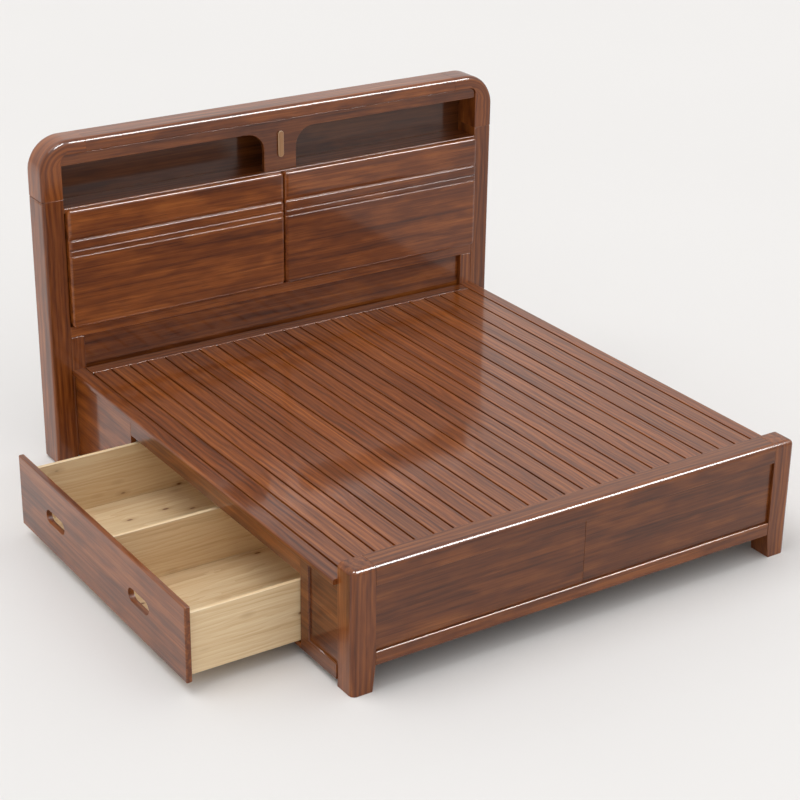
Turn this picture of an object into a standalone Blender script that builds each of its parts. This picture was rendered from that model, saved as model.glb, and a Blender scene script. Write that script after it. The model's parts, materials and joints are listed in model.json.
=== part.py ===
"""Platform bed with two storage drawers and a shelf headboard.

Metres, +Z up.  +Y points to the headboard and -X is the side whose drawer stands open.
The origin is on the floor under the middle of the platform.
"""
import math

import bmesh
import bpy
from mathutils import Vector

# ---------------------------------------------------------------- driving sizes
GAP = 0.0003                    # clearance between two pieces that touch

BED_WIDTH = 1.910               # across the foot posts
BED_LENGTH = 2.090              # foot face to headboard face
DECK_HEIGHT = 0.407             # top of the planks
PLANK_THICKNESS = 0.022

FOOT_POST = 0.092               # foot post, square
FOOT_RISE = 0.061               # foot posts and rail above the planks
FOOT_POST_TAPER = 0.012         # how far the inner face draws in at the floor
FOOT_RAIL_HEIGHT = 0.072
FOOT_CLEARANCE = 0.096          # floor to the lower foot rail
FOOT_LOW_RAIL_HEIGHT = 0.052
FOOT_LOW_RAIL_DEPTH = 0.030
FOOT_LEDGE = 0.020              # how far the planks bear on the rails across their ends
FOOT_LEDGE_HEIGHT = 0.038       # part of the foot rail below the planks
FOOT_EDGE_RADIUS = 0.020
PANEL_RECESS = 0.011            # panels behind the face of their frame
PANEL_THICKNESS = 0.018

CAP_WIDTH = 0.060               # outermost board of the deck
CAP_EDGE_RADIUS = 0.007
CAP_OVERHANG = 0.013            # outermost board past the side frame under it
SIDE_PROUD = 0.004              # side frames outside the faces of the foot posts
SIDE_THICKNESS = 0.022
SIDE_CLEARANCE = 0.028          # floor to the side frames
SIDE_FOOT_LENGTH = 0.230        # side frame between the foot post and the drawer
SIDE_HEAD_LENGTH = 0.495        # side panel between the drawer and the headboard
SIDE_STILE = 0.050
SIDE_LOW_RAIL = 0.057
SIDE_RECESS = 0.008
SIDE_BEAM_DEPTH = 0.070
SIDE_BEAM_HEIGHT = 0.068
SIDE_SILL_DEPTH = 0.060
SIDE_SILL_HEIGHT = 0.020

STRIP_COUNT = 23                # strips between the outermost boards
STRIPS_PER_PLANK = (3, 3, 3, 3, 2, 3, 3, 3)
GROOVE_WIDTH = 0.008
GROOVE_DEPTH = 0.010
HEAD_BOARD_WIDTH = 0.064        # cross board at the head end of the deck
HEAD_BOARD_THICKNESS = 0.055
BEARER_WIDTH = 0.060
BEARER_HEIGHT = 0.058
BEARER_OFFSETS = (-0.5, 0.0, 0.5)
PARTITION_THICKNESS = 0.024
PARTITION_SETBACK = 0.150        # partition starts this far behind the foot posts

DRAWER_OPEN = 0.422             # how far the left drawer stands open
DRAWER_DEPTH = 0.680
DRAWER_FRONT_THICKNESS = 0.022
DRAWER_FRONT_DROP = 0.002       # front below the top of the sill
DRAWER_OVERLAP_TOP = 0.015      # front laps over the side beam
DRAWER_OVERLAP_FOOT = 0.022     # front laps over the side frames
DRAWER_OVERLAP_HEAD = 0.035
DRAWER_FACE_GAP = 0.0005
DRAWER_SIDE_CLEARANCE = 0.008   # box to the side frames
DRAWER_HEAD_ROOM = 0.028        # box to the side beam
DRAWER_FLOOR_ROOM = 0.007       # box to the sill
DRAWER_BOARD = 0.015
DRAWER_BOTTOM_THICKNESS = 0.009
DRAWER_BOTTOM_LIFT = 0.003
DIVIDER_DROP = 0.010            # divider below the rim of the box
RUNNER_WIDTH = 0.040
SLOT_LENGTH = 0.156
SLOT_HEIGHT = 0.052
SLOT_SPACING = 0.674            # between the middles of the two finger slots
SLOT_OFFSET = 0.015             # middle of the pair from the middle of the front, towards the headboard

HEADBOARD_WIDTH = 2.106
HEADBOARD_HEIGHT = 1.350
HEADBOARD_DEPTH = 0.135
HEAD_POST_WIDTH = 0.087
HEAD_BEAM_HEIGHT = 0.054
HEAD_CORNER_RADIUS = 0.130
HEAD_INNER_RADIUS = 0.025
HEAD_EDGE_RADIUS = 0.014
CORNER_LEG = 0.230              # corner piece below the top of the headboard
CORNER_ARM = 0.194              # corner piece along the beam
VALANCE_DROP = 0.045
VALANCE_THICKNESS = 0.020
VALANCE_SETBACK = 0.006
VALANCE_STEM = 0.150
NICHE_HEIGHT = 0.168
NICHE_RADIUS = 0.080
SHELF_THICKNESS = 0.022
BACK_THICKNESS = 0.012
BACK_BOTTOM = 0.030             # floor to the headboard's panels
LOWER_PANEL_SHOW = 0.138        # lower panel above the planks
MIDDLE_RAIL_HEIGHT = 0.046
MIDDLE_RAIL_DEPTH = 0.080
LOWER_STILE = 0.057
LOWER_PANEL_RECESS = 0.020
LOWER_PANEL_THICKNESS = 0.015
BACKREST_PROUD = 0.028
BACKREST_INSET = 0.018          # backrest inside the frame of the headboard
BACKREST_SEAM = 0.005
BACKREST_SIDE_GAP = 0.004
BACKREST_EDGE_RADIUS = 0.016
BACKREST_DROP = 0.003            # top of the backrest below the shelf
# Drop below the top, half height and depth of each groove that parts two ridges.
BACKREST_GROOVES = ((0.117, 0.013, 0.008), (0.163, 0.006, 0.004), (0.187, 0.006, 0.004))
PULL_WIDTH = 0.025
PULL_HEIGHT = 0.110
PULL_THICKNESS = 0.008

SOFT_EDGE = 0.003               # small rounding on sawn boards

# ---------------------------------------------------------------- derived places
HALF_WIDTH = BED_WIDTH / 2
FOOT_Y = -BED_LENGTH / 2
HEAD_Y = BED_LENGTH / 2
POST_INNER_X = HALF_WIDTH - FOOT_POST
POST_BACK_Y = FOOT_Y + FOOT_POST
FOOT_TOP = DECK_HEIGHT + FOOT_RISE
FOOT_RAIL_BOTTOM = FOOT_TOP - FOOT_RAIL_HEIGHT
PLANK_BOTTOM = DECK_HEIGHT - PLANK_THICKNESS
PLANK_SEAT = PLANK_BOTTOM - GAP
SIDE_OUTER_X = HALF_WIDTH + SIDE_PROUD
SIDE_INNER_X = SIDE_OUTER_X - SIDE_THICKNESS
CAP_OUTER_X = SIDE_OUTER_X + CAP_OVERHANG
CAP_INNER_X = CAP_OUTER_X - CAP_WIDTH
SIDE_TOP = PLANK_SEAT
OPENING_FOOT_Y = POST_BACK_Y + SIDE_FOOT_LENGTH
OPENING_HEAD_Y = HEAD_Y - SIDE_HEAD_LENGTH
SIDE_BEAM_INNER_X = SIDE_OUTER_X - SIDE_BEAM_DEPTH
SIDE_BEAM_BOTTOM = SIDE_TOP - SIDE_BEAM_HEIGHT
SIDE_SILL_INNER_X = SIDE_OUTER_X - SIDE_SILL_DEPTH
SIDE_SILL_TOP = SIDE_CLEARANCE + SIDE_SILL_HEIGHT
PLANK_HEAD_Y = HEAD_Y - HEAD_BOARD_WIDTH
DECK_HALF_WIDTH = CAP_INNER_X - GAP
STRIP_PITCH = 2 * DECK_HALF_WIDTH / STRIP_COUNT
BEARER_BOTTOM = PLANK_SEAT - BEARER_HEIGHT

BOX_BOTTOM = SIDE_SILL_TOP + DRAWER_FLOOR_ROOM
BOX_TOP = SIDE_BEAM_BOTTOM - DRAWER_HEAD_ROOM
BOX_FOOT_Y = OPENING_FOOT_Y + DRAWER_SIDE_CLEARANCE
BOX_HEAD_Y = OPENING_HEAD_Y - DRAWER_SIDE_CLEARANCE
DRAWER_FRONT_BOTTOM = SIDE_SILL_TOP - DRAWER_FRONT_DROP
DRAWER_FRONT_TOP = SIDE_BEAM_BOTTOM + DRAWER_OVERLAP_TOP
DRAWER_MIDDLE_Y = (BOX_FOOT_Y + BOX_HEAD_Y) / 2
FRONT_BACK_X = SIDE_OUTER_X + DRAWER_FACE_GAP

HEAD_HALF_WIDTH = HEADBOARD_WIDTH / 2
HEAD_INNER_X = HEAD_HALF_WIDTH - HEAD_POST_WIDTH
HEAD_BACK_Y = HEAD_Y + HEADBOARD_DEPTH
CORNER_BOTTOM = HEADBOARD_HEIGHT - CORNER_LEG
CORNER_END_X = HEAD_HALF_WIDTH - CORNER_ARM
BEAM_BOTTOM = HEADBOARD_HEIGHT - HEAD_BEAM_HEIGHT
NICHE_TOP = BEAM_BOTTOM - VALANCE_DROP
SHELF_TOP = NICHE_TOP - NICHE_HEIGHT
SHELF_BOTTOM = SHELF_TOP - SHELF_THICKNESS
MIDDLE_RAIL_BOTTOM = DECK_HEIGHT + LOWER_PANEL_SHOW
MIDDLE_RAIL_TOP = MIDDLE_RAIL_BOTTOM + MIDDLE_RAIL_HEIGHT
BACKREST_BOTTOM = MIDDLE_RAIL_TOP + 0.002
BACKREST_TOP = SHELF_TOP - BACKREST_DROP
BACKREST_FRONT_Y = HEAD_Y - BACKREST_PROUD

# ---------------------------------------------------------------- finishes
FINISHES = {
    "walnut": ((0.235, 0.085, 0.036, 1.0), 0.28),
    "pine": ((0.700, 0.520, 0.310, 1.0), 0.55),
    "carcass_wood": ((0.420, 0.230, 0.120, 1.0), 0.60),
    "light_oak": ((0.520, 0.300, 0.150, 1.0), 0.35),
}


def clear_scene():
    """Remove every object of the open scene."""
    for obj in list(bpy.data.objects):
        bpy.data.objects.remove(obj, do_unlink=True)


def make_material(node_name, finish):
    """One Principled material for one piece."""
    colour, roughness = FINISHES[finish]
    material = bpy.data.materials.new(node_name + "_material")
    material.use_nodes = True
    shader = material.node_tree.nodes["Principled BSDF"]
    shader.inputs["Base Color"].default_value = colour
    shader.inputs["Roughness"].default_value = roughness
    shader.inputs["Metallic"].default_value = 0.0
    material.diffuse_color = colour
    return material


def make_slide(name, location):
    """Empty that carries a drawer; its place is on the drawer's slide."""
    empty = bpy.data.objects.new(name, None)
    empty.location = location
    bpy.context.collection.objects.link(empty)
    return empty


def finish_object(name, bm, finish, parent=None):
    """Turn a bmesh in world places into a named object, under its parent if it has one."""
    bmesh.ops.remove_doubles(bm, verts=bm.verts, dist=1e-6)
    bmesh.ops.recalc_face_normals(bm, faces=bm.faces)
    if parent is not None:
        bmesh.ops.translate(bm, verts=bm.verts, vec=-parent.location)
    mesh = bpy.data.meshes.new(name)
    bm.to_mesh(mesh)
    bm.free()
    mesh.shade_smooth()
    mesh.set_sharp_from_angle(angle=math.radians(35))
    obj = bpy.data.objects.new(name, mesh)
    bpy.context.collection.objects.link(obj)
    obj.data.materials.append(make_material(name, finish))
    obj.parent = parent
    return obj


def extrude_outline(outline, axis, low, high):
    """Prism from a closed outline; axis 0, 1 or 2 is the way it is extruded."""
    bm = bmesh.new()
    first, second = [k for k in range(3) if k != axis]
    verts = []
    for point in outline:
        place = [0.0, 0.0, 0.0]
        place[axis] = low
        place[first] = point[0]
        place[second] = point[1]
        verts.append(bm.verts.new(place))
    face = bm.faces.new(verts)
    made = bmesh.ops.extrude_face_region(bm, geom=[face])
    moved = [item for item in made["geom"] if isinstance(item, bmesh.types.BMVert)]
    step = Vector((0.0, 0.0, 0.0))
    step[axis] = high - low
    bmesh.ops.translate(bm, verts=moved, vec=step)
    bmesh.ops.recalc_face_normals(bm, faces=bm.faces)
    return bm


def box(low, high):
    """Plain block between two corners, given in any order."""
    x0, x1 = sorted((low[0], high[0]))
    y0, y1 = sorted((low[1], high[1]))
    z0, z1 = sorted((low[2], high[2]))
    return extrude_outline([(x0, y0), (x1, y0), (x1, y1), (x0, y1)], 2, z0, z1)


def round_edges(bm, wanted, radius, segments):
    """Round the sharp edges whose two ends both satisfy wanted(place)."""
    edges = []
    for edge in bm.edges:
        if edge.calc_face_angle(0.0) < math.radians(20):
            continue
        if wanted(edge.verts[0].co) and wanted(edge.verts[1].co):
            edges.append(edge)
    bmesh.ops.bevel(bm, geom=edges, offset=radius, offset_type="OFFSET", segments=segments,
                    profile=0.5, affect="EDGES", clamp_overlap=True)


def soften(bm, radius=SOFT_EDGE, segments=1):
    """Ease every sharp edge of a board."""
    round_edges(bm, lambda place: True, radius, segments)


def near(value, target):
    """Whether two coordinates are the same place."""
    return abs(value - target) < 1e-5


def arc(centre, radius, start, end, steps):
    """Points on an arc, angles in degrees, both ends included."""
    points = []
    for k in range(steps + 1):
        angle = math.radians(start + (end - start) * k / steps)
        points.append((centre[0] + radius * math.cos(angle), centre[1] + radius * math.sin(angle)))
    return points


def mirrored(outline, side):
    """Outline with its first coordinate on the given side (-1 or +1)."""
    return [(side * u, v) for u, v in outline]


def add_board(name, low, high, finish="walnut", parent=None, edge=SOFT_EDGE):
    """A sawn board with eased edges."""
    bm = box(low, high)
    if edge > 0:
        soften(bm, edge)
    return finish_object(name, bm, finish, parent)


# ---------------------------------------------------------------- foot end
def add_foot_post(name, side):
    """Square post whose inner face draws in below the foot rail."""
    outer = side * HALF_WIDTH
    outline = [
        (HALF_WIDTH, 0.0),
        (HALF_WIDTH, FOOT_TOP),
        (POST_INNER_X, FOOT_TOP),
        (POST_INNER_X, FOOT_CLEARANCE),
        (POST_INNER_X + FOOT_POST_TAPER, 0.0),
    ]
    bm = extrude_outline(mirrored(outline, side), 1, FOOT_Y, POST_BACK_Y)

    def exposed(place):
        """The places on the outer faces and the top that an outer edge joins."""
        return near(place.x, outer), near(place.y, FOOT_Y), near(place.z, FOOT_TOP)

    edges = []
    for edge in bm.edges:
        shared = [one and two for one, two in zip(exposed(edge.verts[0].co), exposed(edge.verts[1].co))]
        if shared.count(True) == 2:
            edges.append(edge)
    bmesh.ops.bevel(bm, geom=edges, offset=FOOT_EDGE_RADIUS, offset_type="OFFSET", segments=4,
                    profile=0.5, affect="EDGES", clamp_overlap=True)
    return finish_object(name, bm, "walnut")


def add_foot_top_rail():
    """Top rail with a rounded front edge and, behind the panels, a ledge under the planks."""
    radius = FOOT_EDGE_RADIUS
    behind_panels = FOOT_Y + PANEL_RECESS + PANEL_THICKNESS + GAP
    ledge_bottom = PLANK_SEAT - FOOT_LEDGE_HEIGHT
    outline = [(FOOT_Y, FOOT_RAIL_BOTTOM)]
    outline += arc((FOOT_Y + radius, FOOT_TOP - radius), radius, 180, 90, 4)
    outline += [
        (POST_BACK_Y - SOFT_EDGE, FOOT_TOP),
        (POST_BACK_Y, FOOT_TOP - SOFT_EDGE),
        (POST_BACK_Y, PLANK_SEAT),
        (POST_BACK_Y + FOOT_LEDGE, PLANK_SEAT),
        (POST_BACK_Y + FOOT_LEDGE, ledge_bottom),
        (behind_panels, ledge_bottom),
        (behind_panels, FOOT_RAIL_BOTTOM),
    ]
    reach = POST_INNER_X - GAP
    return finish_object("foot_top_rail", extrude_outline(outline, 0, -reach, reach), "walnut")


def add_foot_end():
    """Posts, rails and the two panels of the foot end."""
    add_foot_post("foot_post_left", -1)
    add_foot_post("foot_post_right", 1)
    add_foot_top_rail()
    reach = POST_INNER_X - GAP
    low_top = FOOT_CLEARANCE + FOOT_LOW_RAIL_HEIGHT
    add_board("foot_low_rail", (-reach, FOOT_Y, FOOT_CLEARANCE),
              (reach, FOOT_Y + FOOT_LOW_RAIL_DEPTH, low_top))
    front = FOOT_Y + PANEL_RECESS
    for name, side in (("foot_panel_left", -1), ("foot_panel_right", 1)):
        add_board(name, (side * GAP, front, low_top + GAP),
                  (side * reach, front + PANEL_THICKNESS, FOOT_RAIL_BOTTOM - GAP), edge=0.0015)


# ---------------------------------------------------------------- platform sides
def add_side_cap(name, side):
    """Outermost board of the deck: half a groove inside, a rounded edge outside."""
    radius = CAP_EDGE_RADIUS
    groove = CAP_INNER_X + GROOVE_WIDTH / 2
    bed = DECK_HEIGHT - GROOVE_DEPTH
    outline = [(CAP_INNER_X, PLANK_BOTTOM), (CAP_OUTER_X - SOFT_EDGE, PLANK_BOTTOM)]
    outline += [(CAP_OUTER_X, PLANK_BOTTOM + SOFT_EDGE)]
    outline += arc((CAP_OUTER_X - radius, DECK_HEIGHT - radius), radius, 0, 90, 4)
    outline += [(groove, DECK_HEIGHT), (groove, bed), (CAP_INNER_X, bed)]
    bm = extrude_outline(mirrored(outline, side), 1, POST_BACK_Y + GAP, HEAD_Y - GAP)
    return finish_object(name, bm, "walnut")


def make_cutter(name, bm, parent=None):
    """Object that only cuts others."""
    cutter = finish_object(name, bm, "walnut", parent)
    cutter.hide_render = True
    cutter.display_type = "WIRE"
    return cutter


def cut_with(obj, cutter, label):
    """Take the cutter's shape out of the object."""
    cut = obj.modifiers.new(label, "BOOLEAN")
    cut.operation = "DIFFERENCE"
    cut.solver = "EXACT"
    cut.object = cutter


def add_side_foot_frame(name, side):
    """Stile and low rail beside a recessed field that runs to the foot post."""
    low_y = POST_BACK_Y + GAP
    outer = side * SIDE_OUTER_X
    frame = add_board(name, (outer, low_y, SIDE_CLEARANCE),
                      (side * SIDE_INNER_X, OPENING_FOOT_Y, SIDE_TOP), edge=0.0)
    past = SIDE_STILE
    recess = box((outer + side * past, low_y - past, SIDE_CLEARANCE + SIDE_LOW_RAIL),
                 (outer - side * SIDE_RECESS, OPENING_FOOT_Y - SIDE_STILE, SIDE_TOP + past))
    cut_with(frame, make_cutter(name + "_cutter", recess), "field")
    return frame


def add_platform_sides():
    """Caps, side frames, beams and sills of both sides."""
    for word, side in (("left", -1), ("right", 1)):
        add_side_cap("side_cap_" + word, side)
        add_side_foot_frame("side_foot_frame_" + word, side)
        outer = side * SIDE_OUTER_X
        inner = side * SIDE_INNER_X
        add_board("side_head_panel_" + word, (outer, OPENING_HEAD_Y, SIDE_CLEARANCE),
                  (inner, HEAD_Y - GAP, SIDE_TOP), edge=0.0)
        foot_y = OPENING_FOOT_Y + GAP
        head_y = OPENING_HEAD_Y - GAP
        add_board("side_beam_" + word, (outer, foot_y, SIDE_BEAM_BOTTOM),
                  (side * SIDE_BEAM_INNER_X, head_y, SIDE_TOP), edge=0.0)
        add_board("side_sill_" + word, (outer, foot_y, SIDE_CLEARANCE),
                  (side * SIDE_SILL_INNER_X, head_y, SIDE_SILL_TOP), edge=0.0)


# ---------------------------------------------------------------- deck
def plank_outline(start, strips):
    """Section of a plank: its strips, with half a groove at each side."""
    half = GROOVE_WIDTH / 2
    bed = DECK_HEIGHT - GROOVE_DEPTH
    end = start + strips * STRIP_PITCH
    points = [(start + GAP / 2, PLANK_BOTTOM), (end - GAP / 2, PLANK_BOTTOM)]
    points += [(end - GAP / 2, bed), (end - half, bed), (end - half, DECK_HEIGHT)]
    for k in range(strips - 1, 0, -1):
        groove = start + k * STRIP_PITCH
        points += [(groove + half, DECK_HEIGHT), (groove + half, bed)]
        points += [(groove - half, bed), (groove - half, DECK_HEIGHT)]
    points += [(start + half, DECK_HEIGHT), (start + half, bed), (start + GAP / 2, bed)]
    return points


def add_deck():
    """Planks, the cross board at the head end and what carries them."""
    start = -DECK_HALF_WIDTH
    for number, strips in enumerate(STRIPS_PER_PLANK, 1):
        bm = extrude_outline(plank_outline(start, strips), 1, POST_BACK_Y + GAP, PLANK_HEAD_Y - GAP)
        finish_object("deck_plank_%d" % number, bm, "walnut")
        start += strips * STRIP_PITCH
    outline = [
        (PLANK_HEAD_Y, DECK_HEIGHT),
        (PLANK_HEAD_Y, PLANK_SEAT),
        (PLANK_HEAD_Y - FOOT_LEDGE, PLANK_SEAT),
        (PLANK_HEAD_Y - FOOT_LEDGE, DECK_HEIGHT - HEAD_BOARD_THICKNESS),
        (HEAD_Y - GAP, DECK_HEIGHT - HEAD_BOARD_THICKNESS),
        (HEAD_Y - GAP, DECK_HEIGHT),
    ]
    bm = extrude_outline(outline, 0, -DECK_HALF_WIDTH, DECK_HALF_WIDTH)
    finish_object("deck_head_board", bm, "walnut")

    reach = SIDE_BEAM_INNER_X - GAP
    for number, offset in enumerate(BEARER_OFFSETS, 1):
        add_board("deck_bearer_%d" % number,
                  (-reach, offset - BEARER_WIDTH / 2, BEARER_BOTTOM),
                  (reach, offset + BEARER_WIDTH / 2, PLANK_SEAT), "carcass_wood", edge=0.0)
    half = PARTITION_THICKNESS / 2
    add_board("centre_partition", (-half, POST_BACK_Y + PARTITION_SETBACK, 0.0),
              (half, PLANK_HEAD_Y, BEARER_BOTTOM - GAP), "carcass_wood", edge=0.0)


# ---------------------------------------------------------------- drawers
def slot_shape(middle_y, middle_z, x_low, x_high):
    """Pill-shaped prism along X for a finger slot."""
    radius = SLOT_HEIGHT / 2
    run = SLOT_LENGTH / 2 - radius
    outline = arc((middle_y + run, middle_z), radius, -90, 90, 8)
    outline += arc((middle_y - run, middle_z), radius, 90, 270, 8)
    return extrude_outline(outline, 0, x_low, x_high)


def add_drawer(word, side, opened):
    """One drawer: front, two sides, back, divider and bottom, opened by the given amount."""
    slide = make_slide("drawer_%s_slide" % word, (side * opened, 0.0, 0.0))
    bpy.context.view_layer.update()
    shift = opened
    back_of_front = side * (FRONT_BACK_X + shift)
    face = side * (FRONT_BACK_X + DRAWER_FRONT_THICKNESS + shift)
    inner_x = side * (FRONT_BACK_X + shift - DRAWER_DEPTH)
    front_low = OPENING_FOOT_Y - DRAWER_OVERLAP_FOOT
    front_high = OPENING_HEAD_Y + DRAWER_OVERLAP_HEAD
    front = add_board("drawer_%s_front" % word, (face, front_low, DRAWER_FRONT_BOTTOM),
                      (back_of_front, front_high, DRAWER_FRONT_TOP), parent=slide)
    slot_z = (DRAWER_FRONT_BOTTOM + DRAWER_FRONT_TOP) / 2
    reach = DRAWER_FRONT_THICKNESS * 2
    for number, step in enumerate((-0.5, 0.5), 1):
        middle = (front_low + front_high) / 2 + SLOT_OFFSET + step * SLOT_SPACING
        low_x, high_x = sorted((face + side * reach, back_of_front - side * reach))
        cutter = make_cutter("drawer_%s_slot_cutter_%d" % (word, number),
                             slot_shape(middle, slot_z, low_x, high_x), slide)
        cut_with(front, cutter, "finger_slot_%d" % number)

    start = back_of_front - side * GAP
    end = inner_x
    add_board("drawer_%s_side_foot" % word, (start, BOX_FOOT_Y, BOX_BOTTOM),
              (end, BOX_FOOT_Y + DRAWER_BOARD, BOX_TOP), "pine", slide, 0.0015)
    add_board("drawer_%s_side_head" % word, (start, BOX_HEAD_Y - DRAWER_BOARD, BOX_BOTTOM),
              (end, BOX_HEAD_Y, BOX_TOP), "pine", slide, 0.0015)
    low_y = BOX_FOOT_Y + DRAWER_BOARD + GAP
    high_y = BOX_HEAD_Y - DRAWER_BOARD - GAP
    add_board("drawer_%s_back" % word, (end, low_y, BOX_BOTTOM),
              (end + side * DRAWER_BOARD, high_y, BOX_TOP), "pine", slide, 0.0015)
    back_face = end + side * (DRAWER_BOARD + GAP)
    floor_low = BOX_BOTTOM + DRAWER_BOTTOM_LIFT
    floor_high = floor_low + DRAWER_BOTTOM_THICKNESS
    add_board("drawer_%s_bottom" % word, (start, low_y, floor_low),
              (back_face, high_y, floor_high), "pine", slide, 0.0)
    add_board("drawer_%s_divider" % word, (start, DRAWER_MIDDLE_Y - DRAWER_BOARD / 2, floor_high + GAP),
              (back_face, DRAWER_MIDDLE_Y + DRAWER_BOARD / 2, BOX_TOP - DIVIDER_DROP), "pine", slide, 0.0015)


def add_runners():
    """Boards on the floor that the drawer boxes slide along."""
    inner = PARTITION_THICKNESS / 2 + GAP
    for word, side in (("left", -1), ("right", 1)):
        for end, edge_y in (("foot", BOX_FOOT_Y), ("head", BOX_HEAD_Y - RUNNER_WIDTH)):
            add_board("drawer_runner_%s_%s" % (word, end), (side * inner, edge_y, 0.0),
                      (side * (SIDE_SILL_INNER_X - GAP), edge_y + RUNNER_WIDTH, BOX_BOTTOM - GAP),
                      "carcass_wood", edge=0.0)


# ---------------------------------------------------------------- headboard
def add_head_post(name, side):
    """Headboard post from the floor to the corner piece."""
    outer = side * HEAD_HALF_WIDTH
    bm = box((outer, HEAD_Y, 0.0), (side * HEAD_INNER_X, HEAD_BACK_Y, CORNER_BOTTOM - GAP))
    round_edges(bm, lambda p: near(p.x, outer), HEAD_EDGE_RADIUS, 3)
    return finish_object(name, bm, "walnut")


def add_head_corner(name, side):
    """Bent corner between a post and the top beam."""
    radius = HEAD_CORNER_RADIUS
    inner = HEAD_INNER_RADIUS
    outline = [(HEAD_HALF_WIDTH, CORNER_BOTTOM)]
    outline += arc((HEAD_HALF_WIDTH - radius, HEADBOARD_HEIGHT - radius), radius, 0, 90, 10)
    outline += [(CORNER_END_X, HEADBOARD_HEIGHT), (CORNER_END_X, BEAM_BOTTOM)]
    outline += arc((HEAD_INNER_X - inner, BEAM_BOTTOM - inner), inner, 90, 0, 4)
    outline += [(HEAD_INNER_X, CORNER_BOTTOM)]
    bm = extrude_outline(mirrored(outline, side), 1, HEAD_Y, HEAD_BACK_Y)
    centre = Vector((side * (HEAD_HALF_WIDTH - radius), 0.0, HEADBOARD_HEIGHT - radius))

    def on_outside(place):
        if near(abs(place.x), HEAD_HALF_WIDTH) or near(place.z, HEADBOARD_HEIGHT):
            return True
        reach = math.hypot(place.x - centre.x, place.z - centre.z)
        return abs(place.x) > abs(centre.x) and place.z > centre.z and near(reach, radius)

    edges = []
    for edge in bm.edges:
        a, b = edge.verts[0].co, edge.verts[1].co
        if on_outside(a) and on_outside(b) and near(a.y, b.y):
            edges.append(edge)
    bmesh.ops.bevel(bm, geom=edges, offset=HEAD_EDGE_RADIUS, offset_type="OFFSET", segments=3,
                    profile=0.5, affect="EDGES", clamp_overlap=True)
    return finish_object(name, bm, "walnut")


def add_head_beam():
    """Top beam between the corner pieces."""
    reach = CORNER_END_X - GAP
    bm = box((-reach, HEAD_Y, BEAM_BOTTOM), (reach, HEAD_BACK_Y, HEADBOARD_HEIGHT))
    edges = [edge for edge in bm.edges
             if near(edge.verts[0].co.z, HEADBOARD_HEIGHT) and near(edge.verts[1].co.z, HEADBOARD_HEIGHT)
             and near(edge.verts[0].co.y, edge.verts[1].co.y)]
    bmesh.ops.bevel(bm, geom=edges, offset=HEAD_EDGE_RADIUS, offset_type="OFFSET", segments=3,
                    profile=0.5, affect="EDGES", clamp_overlap=True)
    return finish_object("headboard_beam", bm, "walnut")


def round_top(reach, top):
    """Upper edge of a board that fits inside the rounded inner corners, right to left."""
    radius = HEAD_INNER_RADIUS + GAP
    points = arc((reach - radius, top - radius), radius, 0, 90, 4)
    points += arc((-reach + radius, top - radius), radius, 90, 180, 4)
    return points


def add_valance():
    """Board under the beam whose middle stem parts the two niches."""
    reach = HEAD_INNER_X - GAP
    stem = VALANCE_STEM / 2
    bottom = SHELF_TOP + GAP
    curve = min(NICHE_RADIUS, NICHE_HEIGHT / 2)
    outline = round_top(reach, BEAM_BOTTOM - GAP)
    outline += [(-reach, NICHE_TOP)]
    outline += arc((-stem - curve, NICHE_TOP - curve), curve, 90, 0, 8)
    outline += [(-stem, bottom), (stem, bottom)]
    outline += arc((stem + curve, NICHE_TOP - curve), curve, 180, 90, 8)
    outline += [(reach, NICHE_TOP)]
    front = HEAD_Y + VALANCE_SETBACK
    bm = extrude_outline(outline, 1, front, front + VALANCE_THICKNESS)
    finish_object("headboard_valance", bm, "walnut")

    middle = (NICHE_TOP + SHELF_TOP) / 2 + PULL_HEIGHT / 4
    radius = PULL_WIDTH / 2
    run = PULL_HEIGHT / 2 - radius
    pull = arc((0.0, middle + run), radius, 0, 180, 8)
    pull += arc((0.0, middle - run), radius, 180, 360, 8)
    bm = extrude_outline(pull, 1, front - GAP - PULL_THICKNESS, front - GAP)
    finish_object("headboard_pull", bm, "light_oak")


def backrest_outline():
    """Section of a backrest panel in Y and Z: stepped to pass in front of the shelf, grooved on its face."""
    back = HEAD_Y + BACKREST_INSET
    front = BACKREST_FRONT_Y
    radius = BACKREST_EDGE_RADIUS
    step = SHELF_BOTTOM - 2 * GAP
    points = [(back, BACKREST_BOTTOM), (back, step), (HEAD_Y - GAP, step), (HEAD_Y - GAP, BACKREST_TOP)]
    points += arc((front + radius, BACKREST_TOP - radius), radius, 90, 180, 4)
    for drop, half, depth in BACKREST_GROOVES:
        middle = BACKREST_TOP - drop
        points += [(front, middle + half), (front + depth, middle), (front + depth / 3, middle - 2 * half / 3)]
        points += [(front, middle - half)]
    points += arc((front + radius, BACKREST_BOTTOM + radius), radius, 180, 270, 4)
    return points


def add_backrests():
    """Two raised panels to lean on."""
    inner = BACKREST_SEAM / 2
    outer = HEAD_INNER_X - BACKREST_SIDE_GAP
    for name, side in (("backrest_left", -1), ("backrest_right", 1)):
        low, high = sorted((side * inner, side * outer))
        bm = extrude_outline(backrest_outline(), 0, low, high)
        finish_object(name, bm, "walnut")


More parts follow.
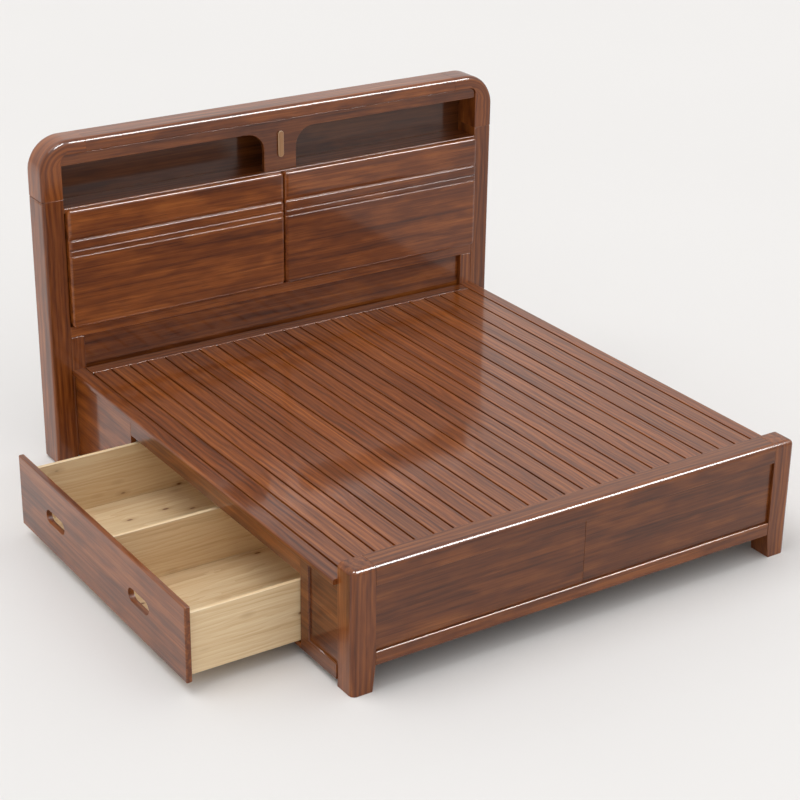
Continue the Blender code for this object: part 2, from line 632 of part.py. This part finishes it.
def add_headboard():
    """Everything between and including the headboard's posts."""
    for word, side in (("left", -1), ("right", 1)):
        add_head_post("headboard_post_" + word, side)
        add_head_corner("headboard_corner_" + word, side)
        add_board("headboard_stile_" + word, (side * (HEAD_INNER_X - GAP), HEAD_Y, BACK_BOTTOM),
                  (side * (HEAD_INNER_X - LOWER_STILE), HEAD_Y + MIDDLE_RAIL_DEPTH, MIDDLE_RAIL_BOTTOM - GAP),
                  edge=0.0015)
    add_head_beam()
    add_valance()
    reach = HEAD_INNER_X - GAP
    back = HEAD_BACK_Y - BACK_THICKNESS
    bm = extrude_outline([(-reach, BACK_BOTTOM), (reach, BACK_BOTTOM)] + round_top(reach, BEAM_BOTTOM - GAP),
                         1, back, HEAD_BACK_Y)
    finish_object("headboard_back", bm, "walnut")
    add_board("headboard_shelf", (-reach, HEAD_Y, SHELF_BOTTOM), (reach, back - GAP, SHELF_TOP))
    add_board("headboard_middle_rail", (-reach, HEAD_Y, MIDDLE_RAIL_BOTTOM),
              (reach, HEAD_Y + MIDDLE_RAIL_DEPTH, MIDDLE_RAIL_TOP), edge=0.0015)
    panel = HEAD_INNER_X - LOWER_STILE - GAP
    front = HEAD_Y + LOWER_PANEL_RECESS
    add_board("headboard_lower_panel", (-panel, front, BACK_BOTTOM),
              (panel, front + LOWER_PANEL_THICKNESS, MIDDLE_RAIL_BOTTOM - GAP), edge=0.0)
    add_backrests()


def main():
    """Build the bed."""
    clear_scene()
    add_foot_end()
    add_platform_sides()
    add_deck()
    add_runners()
    add_drawer("left", -1, DRAWER_OPEN)
    add_drawer("right", 1, 0.0)
    add_headboard()


main()
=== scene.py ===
"""Looks for the platform bed with storage drawers."""
import json
import math
import random

import bmesh
import bpy
from mathutils import Matrix, Vector


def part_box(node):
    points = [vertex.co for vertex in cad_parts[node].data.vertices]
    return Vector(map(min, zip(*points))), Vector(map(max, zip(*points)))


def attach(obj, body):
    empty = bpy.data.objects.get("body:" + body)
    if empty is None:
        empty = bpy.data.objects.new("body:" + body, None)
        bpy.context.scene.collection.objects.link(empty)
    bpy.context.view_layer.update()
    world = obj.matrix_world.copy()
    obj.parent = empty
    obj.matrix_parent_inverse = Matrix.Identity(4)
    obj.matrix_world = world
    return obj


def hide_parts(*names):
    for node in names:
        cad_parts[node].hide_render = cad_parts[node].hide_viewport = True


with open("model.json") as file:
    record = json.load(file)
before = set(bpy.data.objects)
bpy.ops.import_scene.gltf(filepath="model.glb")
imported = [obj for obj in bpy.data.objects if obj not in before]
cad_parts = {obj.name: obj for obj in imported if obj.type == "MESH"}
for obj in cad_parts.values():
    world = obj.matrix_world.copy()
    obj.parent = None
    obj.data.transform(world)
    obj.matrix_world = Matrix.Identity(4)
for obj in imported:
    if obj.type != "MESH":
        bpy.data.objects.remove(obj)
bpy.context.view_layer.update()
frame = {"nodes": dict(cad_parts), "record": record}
BODIES = frame["record"]["behaviour"]["bodies"]
BODY_OF = {node: body for body, members in BODIES.items() for node in members}

# The deck's strips, measured on its first two planks
STRIPS_PER_PLANK = 3
PLANK_LOW, PLANK_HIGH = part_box("deck_plank_1")
NEXT_PLANK_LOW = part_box("deck_plank_2")[0]
STRIP_PITCH = (NEXT_PLANK_LOW.x - PLANK_LOW.x) / STRIPS_PER_PLANK
STRIP_START = PLANK_LOW.x - (NEXT_PLANK_LOW.x - PLANK_HIGH.x) / 2

# Rounding and shading of edges
EDGE_RADIUS = 0.0014
VALANCE_RADIUS = 0.0035
SHARP_ANGLE = math.radians(30)   # edges sharper than this are rounded
SMOOTH_ANGLE = math.radians(38)  # faces closer than this are shaded as one

# Backrest panels. Each groove has its start, deepest line and end below the panel's top, its depth, and the
# rounding at those three lines.
BACKREST_GROOVES = (
    ((0.1060, 0.1235, 0.1265), 0.0075, (0.006, 0.002, 0.010)),
    ((0.1580, 0.1660, 0.1675), 0.0035, (0.003, 0.001, 0.004)),
    ((0.1820, 0.1900, 0.1915), 0.0035, (0.003, 0.001, 0.004)),
)
BACKREST_TOP_RADIUS, BACKREST_BOTTOM_RADIUS = 0.017, 0.014
BACKREST_NOTCH_DEPTH, BACKREST_NOTCH_HEIGHT = 0.0183, 0.0196  # behind the top, where the shelf runs
BACKREST_END_ROUND = 0.016       # how far in from each end the face starts to fall back
BACKREST_END_FALL = 0.011        # how far it falls back at the end
BACKREST_END_NARROWING = 0.018   # how far its top and bottom are drawn in at the end
ARC_DEGREES = (0, 15, 30, 45, 60, 75, 90)

# Headboard's bent corners and top beam
CORNER_OUTER_RADIUS, CORNER_INNER_RADIUS = 0.130, 0.025
CORNER_STEPS = 18
CORNER_RIM, BEAM_RIM = 0.014, 0.023   # rounding of the outer edges, at the post and along the beam
RIM_STEPS = 6                         # the rim grows from one to the other over these steps
INNER_RIM = 0.002                     # rounding of the edges inside the headboard's frame
BEAM_LOWER_RIM = 0.005                # rounding of the beam's lower front edge
BEAM_CHAMFER = 0.0008


# ---------------------------------------------------------------- node helpers

def fill_ramp(ramp, stops):
    while len(ramp.elements) < len(stops):
        ramp.elements.new(0.5)
    for element, (place, colour) in zip(ramp.elements, stops):
        element.position = place
        element.color = (*colour, 1.0)


class Tree:
    """Short names for adding nodes to one material."""

    def __init__(self, name):
        self.material = bpy.data.materials.new(name)
        self.material.use_nodes = True
        self.nodes = self.material.node_tree.nodes
        self.links = self.material.node_tree.links
        self.shader = self.nodes["Principled BSDF"]

    def add(self, kind, settings=None, **inputs):
        node = self.nodes.new("ShaderNode" + kind)
        for key, value in (settings or {}).items():
            setattr(node, key, value)
        for key, value in inputs.items():
            self.put(node.inputs[key.replace("_", " ")], value)
        return node

    def attribute(self, name, kind):
        return self.add("Attribute", {"attribute_type": kind, "attribute_name": name})

    def put(self, socket, value):
        if isinstance(value, bpy.types.NodeSocket):
            self.links.new(value, socket)
        else:
            socket.default_value = value

    def maths(self, operation, a, b=0.0):
        node = self.add("Math", {"operation": operation})
        self.put(node.inputs[0], a)
        self.put(node.inputs[1], b)
        return node.outputs[0]

    def weighed(self, first, *others):
        """The sum of values, each times its weight."""
        total = self.maths("MULTIPLY", *first)
        for value, weight in others:
            total = self.maths("ADD", total, self.maths("MULTIPLY", value, weight))
        return total

    def grey(self, value):
        return self.add("CombineXYZ", None, X=value, Y=value, Z=value).outputs[0]

    def vector(self, operation, a, b):
        node = self.add("VectorMath", {"operation": operation})
        self.put(node.inputs[0], a)
        self.put(node.inputs[1], b)
        return node.outputs[0]

    def noise(self, vector, scale, detail=4.0, rough=0.55, warp=0.0):
        stretched = self.vector("MULTIPLY", vector, scale)
        node = self.add("TexNoise", None, Vector=stretched, Scale=1.0, Detail=detail,
                        Roughness=rough, Distortion=warp)
        return node.outputs["Fac"]

    def ramp(self, factor, stops):
        node = self.add("ValToRGB", None, Fac=factor)
        fill_ramp(node.color_ramp, stops)
        return node.outputs["Color"]

    def blend(self, factor, a, b, mode="MIX"):
        node = self.add("Mix", {"data_type": "RGBA", "blend_type": mode})
        self.put(node.inputs["Factor"], factor)
        self.put(node.inputs[6], a)
        self.put(node.inputs[7], b)
        return node.outputs[2]

    def spread(self, value, low, high, to_low, to_high):
        node = self.add("MapRange", None, Value=value)
        node.inputs["From Min"].default_value = low
        node.inputs["From Max"].default_value = high
        node.inputs["To Min"].default_value = to_low
        node.inputs["To Max"].default_value = to_high
        return node.outputs["Result"]


def grain_place(tree, axis, strips=False):
    """Object coordinates with the grain along X, moved to another part of the log for each board."""
    if axis == "bent":
        place = tree.attribute("grain", "GEOMETRY").outputs["Vector"]
        axis = "X"
    else:
        place = tree.add("TexCoord").outputs["Object"]
    board = tree.attribute("seed", "OBJECT").outputs["Fac"]
    if strips:
        across = tree.add("SeparateXYZ", None, Vector=place).outputs["X"]
        count = tree.maths("DIVIDE", tree.maths("SUBTRACT", across, STRIP_START), STRIP_PITCH)
        number = tree.add("TexWhiteNoise", {"noise_dimensions": "1D"}, W=tree.maths("FLOOR", count))
        board = number.outputs["Value"]
    apart = tree.add("SeparateXYZ", None, Vector=place)
    order = {"X": "XYZ", "Y": "YXZ", "Z": "ZXY"}[axis]
    turned = tree.add("CombineXYZ", None, X=apart.outputs[order[0]], Y=apart.outputs[order[1]],
                      Z=apart.outputs[order[2]]).outputs[0]
    shift = tree.add("CombineXYZ", None, X=tree.maths("MULTIPLY", board, 37.0),
                     Y=tree.maths("MULTIPLY", board, 11.3), Z=tree.maths("MULTIPLY", board, 7.1)).outputs[0]
    return tree.vector("ADD", turned, shift), board


def edge_mark(tree):
    """1 on the narrow rounded edges of a piece, where the painted edge highlight goes, 0 elsewhere."""
    return tree.attribute("edge_highlight", "GEOMETRY").outputs["Fac"]


def walnut(name, axis, strips=False, gloss=0.24):
    """Varnished red-brown wood. With strips, each strip of the deck has its own shade and figure."""
    tree = Tree(name)
    place, board = grain_place(tree, axis, strips)
    broad = tree.noise(place, (0.35, 5.0, 5.0), 2.0, 0.5, 0.3)
    streak = tree.noise(place, (0.8, 30.0, 30.0), 5.0, 0.60, 0.6)
    fine = tree.noise(place, (2.2, 130.0, 130.0), 5.0, 0.68, 0.2)
    pore = tree.noise(place, (11.0, 560.0, 560.0), 2.0, 0.5)
    rings = tree.add("TexWave", {"wave_type": "BANDS", "bands_direction": "Y", "wave_profile": "SIN"},
                     Vector=tree.vector("MULTIPLY", place, (0.22, 1.0, 1.0)), Scale=14.0, Distortion=9.0,
                     Detail=3.0).outputs["Fac"]
    mixed = tree.weighed((streak, 0.46), (fine, 0.42), (rings, 0.10))
    colour = tree.ramp(mixed, [
        (0.33, (0.078, 0.0165, 0.0022)),
        (0.44, (0.162, 0.0385, 0.0052)),
        (0.54, (0.248, 0.0660, 0.0100)),
        (0.67, (0.370, 0.1130, 0.0200)),
    ])
    warm = tree.ramp(broad, [(0.30, (0.80, 0.77, 0.74)), (0.50, (1.0, 1.0, 1.0)), (0.72, (1.16, 1.20, 1.22))])
    colour = tree.blend(1.0, colour, warm, "MULTIPLY")
    # times the board's tone, which holds painted shade on the boards standing in shade besides their own tone
    tone = tree.maths("MULTIPLY", tree.spread(board, 0.0, 1.0, 0.90, 1.10),
                      tree.attribute("tone", "OBJECT").outputs["Fac"])
    colour = tree.blend(1.0, colour, tree.grey(tone), "MULTIPLY")
    dark = tree.spread(pore, 0.30, 0.42, 0.50, 0.0)
    colour = tree.blend(dark, colour, (0.034, 0.0095, 0.0030, 1.0))
    # painted highlight: the rounded edges are painted a lighter orange-brown, unevenly along the grain
    painted_edge_highlight = tree.maths("MULTIPLY", edge_mark(tree), tree.spread(fine, 0.40, 0.62, 0.08, 0.34))
    colour = tree.blend(painted_edge_highlight, colour, (0.36, 0.135, 0.052, 1.0))
    tree.put(tree.shader.inputs["Base Color"], colour)
    tree.put(tree.shader.inputs["Roughness"], tree.spread(streak, 0.3, 0.7, gloss + 0.18, gloss + 0.08))
    tree.shader.inputs["Specular IOR Level"].default_value = 0.14
    tree.shader.inputs["Coat Weight"].default_value = 0.72
    tree.shader.inputs["Coat Roughness"].default_value = 0.10
    height = tree.weighed((pore, 0.5), (fine, 0.5))
    bump = tree.add("Bump", None, Height=height, Strength=0.10, Distance=0.0006)
    tree.put(tree.shader.inputs["Normal"], bump.outputs["Normal"])
    return tree.material


def pale_wood(name, axis, stops, knots=True, gloss=0.48):
    """Pine, plain hidden wood or light oak: growth rings, pores and, where asked, knots with a halo."""
    tree = Tree(name)
    place, board = grain_place(tree, axis)
    streak = tree.noise(place, (0.9, 26.0, 26.0), 4.0, 0.55, 0.3)
    fine = tree.noise(place, (4.0, 170.0, 170.0), 4.0, 0.6)
    rings = tree.add("TexWave", {"wave_type": "BANDS", "bands_direction": "Z", "wave_profile": "SAW"},
                     Vector=tree.vector("MULTIPLY", place, (0.16, 1.0, 1.0)), Scale=19.0, Distortion=9.0,
                     Detail=3.0).outputs["Fac"]
    mixed = tree.weighed((streak, 0.55), (rings, 0.13), (fine, 0.34))
    colour = tree.ramp(mixed, stops)
    tone = tree.spread(board, 0.0, 1.0, 0.90, 1.08)
    colour = tree.blend(1.0, colour, tree.grey(tone), "MULTIPLY")
    if knots:
        cells = tree.add("TexVoronoi", {"feature": "F1"}, Vector=tree.vector("MULTIPLY", place, (8.0, 19.0, 19.0)),
                         Scale=1.0, Randomness=1.0)
        apart = tree.add("SeparateColor", None, Color=cells.outputs["Color"])
        chosen = tree.maths("GREATER_THAN", apart.outputs["Red"], 0.62)
        knot = tree.maths("MULTIPLY", tree.spread(cells.outputs["Distance"], 0.07, 0.13, 1.0, 0.0), chosen)
        halo = tree.maths("MULTIPLY", tree.spread(cells.outputs["Distance"], 0.12, 0.34, 0.35, 0.0), chosen)
        colour = tree.blend(halo, colour, (0.42, 0.215, 0.085, 1.0))
        colour = tree.blend(knot, colour, KNOT)
    # painted highlight: the rounded edges are painted a pale cream
    painted_edge_highlight = tree.maths("MULTIPLY", edge_mark(tree), 0.35)
    colour = tree.blend(painted_edge_highlight, colour, (0.93, 0.80, 0.58, 1.0))
    tree.put(tree.shader.inputs["Base Color"], colour)
    tree.put(tree.shader.inputs["Roughness"], tree.spread(fine, 0.3, 0.7, gloss + 0.10, gloss - 0.04))
    bump = tree.add("Bump", None, Height=mixed, Strength=0.15, Distance=0.0005)
    tree.put(tree.shader.inputs["Normal"], bump.outputs["Normal"])
    return tree.material


PINE = [(0.28, (0.56, 0.360, 0.175)), (0.45, (0.72, 0.515, 0.285)), (0.62, (0.81, 0.635, 0.395)),
        (0.80, (0.88, 0.735, 0.500))]
CARCASS = [(0.30, (0.34, 0.20, 0.105)), (0.50, (0.46, 0.30, 0.165)), (0.75, (0.58, 0.41, 0.245))]
OAK = [(0.30, (0.30, 0.145, 0.055)), (0.50, (0.44, 0.225, 0.092)), (0.75, (0.56, 0.315, 0.140))]
KNOT = (0.22, 0.085, 0.030, 1.0)

MATERIALS = {
    "walnut_x": walnut("walnut_x", "X"),
    "walnut_y": walnut("walnut_y", "Y"),
    "walnut_z": walnut("walnut_z", "Z"),
    "walnut_bent": walnut("walnut_bent", "bent"),
    "walnut_deck": walnut("walnut_deck", "Y", strips=True, gloss=0.20),
    "pine_x": pale_wood("pine_x", "X", PINE),
    "pine_y": pale_wood("pine_y", "Y", PINE),
    "carcass_x": pale_wood("carcass_x", "X", CARCASS),
    "carcass_y": pale_wood("carcass_y", "Y", CARCASS),
    "oak_z": pale_wood("oak_z", "Z", OAK, knots=False, gloss=0.34),
}


# ---------------------------------------------------------------- pieces

def refined(node, width=EDGE_RADIUS, segments=2):
    """A copy of a CAD node's shape, without its triangle diagonals, with its outward edges rounded."""
    source = frame["nodes"][node]
    bm = bmesh.new()
    bm.from_mesh(source.data)
    bmesh.ops.remove_doubles(bm, verts=bm.verts, dist=0.00002)
    bmesh.ops.dissolve_limit(bm, angle_limit=math.radians(0.6), verts=bm.verts, edges=bm.edges)
    bmesh.ops.recalc_face_normals(bm, faces=bm.faces)
    edge_highlight = bm.faces.layers.float.new("edge_highlight")
    sharp = [e for e in bm.edges if e.is_manifold and e.calc_face_angle_signed() > SHARP_ANGLE]
    made = bmesh.ops.bevel(bm, geom=sharp, offset=width, offset_type="OFFSET", segments=segments,
                           profile=0.5, affect="EDGES", clamp_overlap=True)
    # mark the rounded edges: their colour gets a painted highlight
    for face in made["faces"]:
        face[edge_highlight] = 1.0
    place_piece(bm, node)


# How light the wood of some boards is beside the others: partly their own tone, partly painted shade, darkest on
# the headboard's back board at the back of the niche, less on the shelf, valance, lower panel and the front and
# side boards of the foot and sides.
BOARD_TONE_AND_SHADE = (
    ("foot_post", 0.88), ("foot_", 0.76), ("side_foot", 0.72), ("side_beam", 0.8),
    ("headboard_back", 0.42), ("headboard_lower", 0.92), ("headboard_post", 0.95), ("headboard_beam", 0.95),
    ("headboard_valance", 0.86), ("headboard_shelf", 0.8), ("backrest_right", 1.14),
)


def place_piece(bm, node):
    """Make the object of a finished shape, with its material and body."""
    mesh = bpy.data.meshes.new("look_" + node)
    bm.to_mesh(mesh)
    bm.free()
    for polygon in mesh.polygons:
        polygon.use_smooth = True
    mesh.set_sharp_from_angle(angle=SMOOTH_ANGLE)
    obj = bpy.data.objects.new(mesh.name, mesh)
    bpy.context.scene.collection.objects.link(obj)
    modifier = obj.modifiers.new("even_normals", "WEIGHTED_NORMAL")
    modifier.keep_sharp = True
    modifier.weight = 60
    finish, slot = finish_of(node)
    obj["seed"] = random.Random(node).random()
    # each board's tone: its own tone together with painted shade
    obj["tone"] = next((level for start, level in BOARD_TONE_AND_SHADE if node.startswith(start)), 1.0)
    mesh.materials.clear()
    mesh.materials.append(MATERIALS[finish])
    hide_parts(node)
    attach(obj, BODY_OF[node])


def finish_of(node):
    """The material and the slot name of a node."""
    if node.startswith("deck_plank"):
        return "walnut_deck", "walnut"
    if node.startswith("drawer_") and "runner" not in node:
        if node.endswith("front"):
            return "walnut_y", "walnut"
        return ("pine_y" if node.endswith("back") else "pine_x"), "pine"
    if node.startswith("drawer_runner") or node.startswith("deck_bearer"):
        return "carcass_x", "carcass_wood"
    if node == "centre_partition":
        return "carcass_y", "carcass_wood"
    if node == "headboard_pull":
        return "oak_z", "light_oak"
    if node.startswith("side_"):
        return "walnut_y", "walnut"
    if "corner" in node:
        return "walnut_bent", "walnut"
    if "post" in node or "stile" in node:
        return "walnut_z", "walnut"
    return "walnut_x", "walnut"


def filleted(points, steps=6):
    """A closed outline of (y, z, radius) corners with each corner rounded by its radius."""
    out = []
    count = len(points)
    for i, (y, z, radius) in enumerate(points):
        here = Vector((y, z))
        if radius <= 0:
            out.append(here)
            continue
        before = Vector(points[i - 1][:2]) - here
        after = Vector(points[(i + 1) % count][:2]) - here
        angle = before.angle(after)
        reach = min(radius / math.tan(angle / 2), 0.49 * before.length, 0.49 * after.length)
        start = here + before.normalized() * reach
        end = here + after.normalized() * reach
        for step in range(steps + 1):
            t = step / steps
            out.append(start * (1 - t) ** 2 + here * (2 * t * (1 - t)) + end * t ** 2)
    return out


def skin(bm, rows):
    """Close a body from rings of vertices along its length."""
    count = len(rows[0])
    for a, b in zip(rows, rows[1:]):
        for i in range(count):
            j = (i + 1) % count
            bm.faces.new((a[i], a[j], b[j], b[i]))
    bm.faces.new(rows[0][::-1])
    bm.faces.new(rows[-1])
    bmesh.ops.recalc_face_normals(bm, faces=bm.faces)


def backrest(node):
    """A thick wooden panel with a rounded rim and three grooves whose lower lips are rounded."""
    low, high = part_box(node)
    front, top, bottom, back = low.y, high.z, low.z, high.y
    step_y, step_z = back - BACKREST_NOTCH_DEPTH, top - BACKREST_NOTCH_HEIGHT
    corners = [(step_y, top, 0.0), (front, top, BACKREST_TOP_RADIUS)]
    for drops, depth, radii in BACKREST_GROOVES:
        for drop, inward, radius in zip(drops, (0.0, depth, 0.0), radii):
            corners.append((front + inward, top - drop, radius))
    corners += [(front, bottom, BACKREST_BOTTOM_RADIUS), (back, bottom, 0.0), (back, step_z, 0.0),
                (step_y, step_z, 0.0)]
    outline = filleted(corners)
    centre, half = (top + bottom) / 2, (top - bottom) / 2
    sections = []
    turns = [math.radians(a) for a in ARC_DEGREES]
    for end, side, order in ((low.x, 1, turns), (high.x, -1, turns[::-1])):
        for turn in order:
            inset = 1 - math.sin(turn)
            x = end + side * BACKREST_END_ROUND * (1 - math.cos(turn))
            section = []
            for p in outline:
                share = min(1.0, max(0.0, (step_y - p.x) / (step_y - front)))
                section.append(Vector((x, p.x + BACKREST_END_FALL * inset * share,
                                       centre + (p.y - centre) * (1 - BACKREST_END_NARROWING * inset / half))))
            sections.append(section)
    bm = bmesh.new()
    bm.faces.layers.float.new("edge_highlight")
    skin(bm, [[bm.verts.new(p) for p in section] for section in sections])
    place_piece(bm, node)


def bent_corner(node):
    """The headboard's bent corner, swept from the post to the beam, with its grain following the bend."""
    low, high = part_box(node)
    side = 1 if high.x > 0 else -1
    outer_x = max(abs(low.x), abs(high.x))
    end_x = min(abs(low.x), abs(high.x))
    inner_x = min(abs(v.x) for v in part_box("headboard_post_right"))
    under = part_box("headboard_beam")[0].z
    outer, inner = [(outer_x, low.z)], [(inner_x, low.z)]
    for step in range(CORNER_STEPS + 1):
        turn = math.pi / 2 * step / CORNER_STEPS
        for path, x, z, radius in ((outer, outer_x, high.z, CORNER_OUTER_RADIUS),
                                   (inner, inner_x, under, CORNER_INNER_RADIUS)):
            path.append((x - radius + radius * math.cos(turn), z - radius + radius * math.sin(turn)))
    outer.append((end_x, high.z))
    inner.append((end_x, under))
    bm = bmesh.new()
    grain = bm.verts.layers.float_vector.new("grain")
    bm.faces.layers.float.new("edge_highlight")
    rows, run = [], 0.0
    for i, (a, b) in enumerate(zip(outer, inner)):
        a, b = Vector(a), Vector(b)
        if i:
            run += ((a + b) / 2 - (Vector(outer[i - 1]) + Vector(inner[i - 1])) / 2).length
        width = (b - a).length
        rim = CORNER_RIM + (BEAM_RIM - CORNER_RIM) * min(1.0, i / RIM_STEPS)
        section = filleted([(low.y, 0.0, rim), (low.y, width, INNER_RIM), (high.y, width, INNER_RIM),
                            (high.y, 0.0, rim)], 5)
        row = []
        for p in section:
            spot = a.lerp(b, p.y / width)
            vertex = bm.verts.new((side * spot.x, p.x, spot.y))
            vertex[grain] = (run, p.y, p.x)
            row.append(vertex)
        rows.append(row)
    skin(bm, rows)
    place_piece(bm, node)


def top_beam(node):
    """The headboard's top beam: rounded along its two upper edges, with a small chamfer at each end."""
    low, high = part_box(node)
    outline = filleted([
        (low.y, low.z, BEAM_LOWER_RIM), (low.y, high.z, BEAM_RIM), (high.y, high.z, BEAM_RIM),
        (high.y, low.z, INNER_RIM),
    ], 9)
    centre = sum(outline, Vector((0.0, 0.0))) / len(outline)
    bm = bmesh.new()
    bm.faces.layers.float.new("edge_highlight")
    rows = []
    for x, inset in ((low.x, BEAM_CHAMFER), (low.x + BEAM_CHAMFER, 0.0),
                     (high.x - BEAM_CHAMFER, 0.0), (high.x, BEAM_CHAMFER)):
        rows.append([bm.verts.new((x, *(p + (centre - p).normalized() * inset))) for p in outline])
    skin(bm, rows)
    place_piece(bm, node)


for node in sorted(frame["nodes"]):
    if node.startswith("backrest"):
        backrest(node)
    elif node.startswith("headboard_corner"):
        bent_corner(node)
    elif node == "headboard_beam":
        top_beam(node)
    elif node == "headboard_valance":
        refined(node, VALANCE_RADIUS, segments=3)
    else:
        refined(node)


# ---------------------------------------------------------------- floor, light and camera

def add_floor():
    bm = bmesh.new()
    bmesh.ops.create_grid(bm, x_segments=24, y_segments=24, size=26.0)
    mesh = bpy.data.meshes.new("studio_floor")
    bm.to_mesh(mesh)
    bm.free()
    floor = bpy.data.objects.new("studio_floor", mesh)
    bpy.context.scene.collection.objects.link(floor)
    tree = Tree("studio_floor")
    place = tree.add("TexCoord").outputs["Object"]
    drift = tree.noise(place, (0.35, 0.35, 0.35), 2.0, 0.5)
    colour = tree.ramp(drift, [(0.2, (0.780, 0.772, 0.764)), (0.8, (0.794, 0.786, 0.779))])
    tree.put(tree.shader.inputs["Base Color"], colour)
    tree.shader.inputs["Roughness"].default_value = 0.8
    tree.shader.inputs["Specular IOR Level"].default_value = 0.1
    mesh.materials.append(tree.material)


def add_softbox(name, place, target, size, power):
    """A rectangular light that is seen only in the varnish: it gives the bright lines on rounded edges."""
    light = bpy.data.lights.new(name, "AREA")
    light.shape = "RECTANGLE"
    light.size, light.size_y = size
    light.energy = power
    obj = bpy.data.objects.new(name, light)
    obj.location = place
    obj.rotation_euler = (Vector(target) - Vector(place)).to_track_quat("-Z", "Y").to_euler()
    obj.visible_diffuse = False
    obj.visible_camera = False
    bpy.context.scene.collection.objects.link(obj)


def add_sun(name, towards, strength, spread):
    """A very wide sun, which is an even soft light from one side."""
    light = bpy.data.lights.new(name, "SUN")
    light.energy = strength
    light.angle = math.radians(spread)
    obj = bpy.data.objects.new(name, light)
    obj.rotation_euler = Vector(towards).to_track_quat("Z", "Y").to_euler()
    bpy.context.scene.collection.objects.link(obj)


def add_world():
    """A bright studio dome, a little darker towards the horizon."""
    world = bpy.data.worlds.new("studio")
    world.use_nodes = True
    nodes, links = world.node_tree.nodes, world.node_tree.links
    sky = nodes["Background"]
    place = nodes.new("ShaderNodeTexCoord")
    apart = nodes.new("ShaderNodeSeparateXYZ")
    ramp = nodes.new("ShaderNodeValToRGB")
    levels = ((0.0, 0.60), (0.18, 0.80), (0.45, 0.86), (1.0, 0.84))
    fill_ramp(ramp.color_ramp, [(at, (level, level * 0.985, level * 0.972)) for at, level in levels])
    links.new(place.outputs["Generated"], apart.inputs[0])
    links.new(apart.outputs["Z"], ramp.inputs["Fac"])
    links.new(ramp.outputs["Color"], sky.inputs["Color"])
    sky.inputs["Strength"].default_value = 1.0
    bpy.context.scene.world = world


def add_camera():
    """The photograph's viewpoint, fitted to its edges."""
    data = bpy.data.cameras.new("camera")
    data.sensor_width = 36.0
    data.lens = 89.24
    data.clip_end = 60.0
    camera = bpy.data.objects.new("camera", data)
    right = Vector((0.83730, -0.54658, 0.01301))
    back = Vector((-0.50332, -0.76130, 0.40877)).normalized()
    up = back.cross(right).normalized()
    right = up.cross(back).normalized()
    turn = Matrix((right, up, back)).transposed().to_4x4()
    camera.matrix_world = Matrix.Translation((-3.883, -5.734, 3.551)) @ turn
    bpy.context.scene.collection.objects.link(camera)
    bpy.context.scene.camera = camera


add_camera()
add_floor()
add_world()
add_softbox("softbox_front", (2.85, -3.0, 4.6), (2.85, 0.0, 0.8), (3.6, 2.0), 950.0)
add_softbox("softbox_corner", (-1.3, -1.0, 4.6), (-1.1, 1.0, 1.3), (1.5, 1.3), 260.0)
add_sun("overhead", (-0.35, 0.16, 0.92), 1.0, 38.0)
bpy.context.scene.view_settings.view_transform = "Standard"
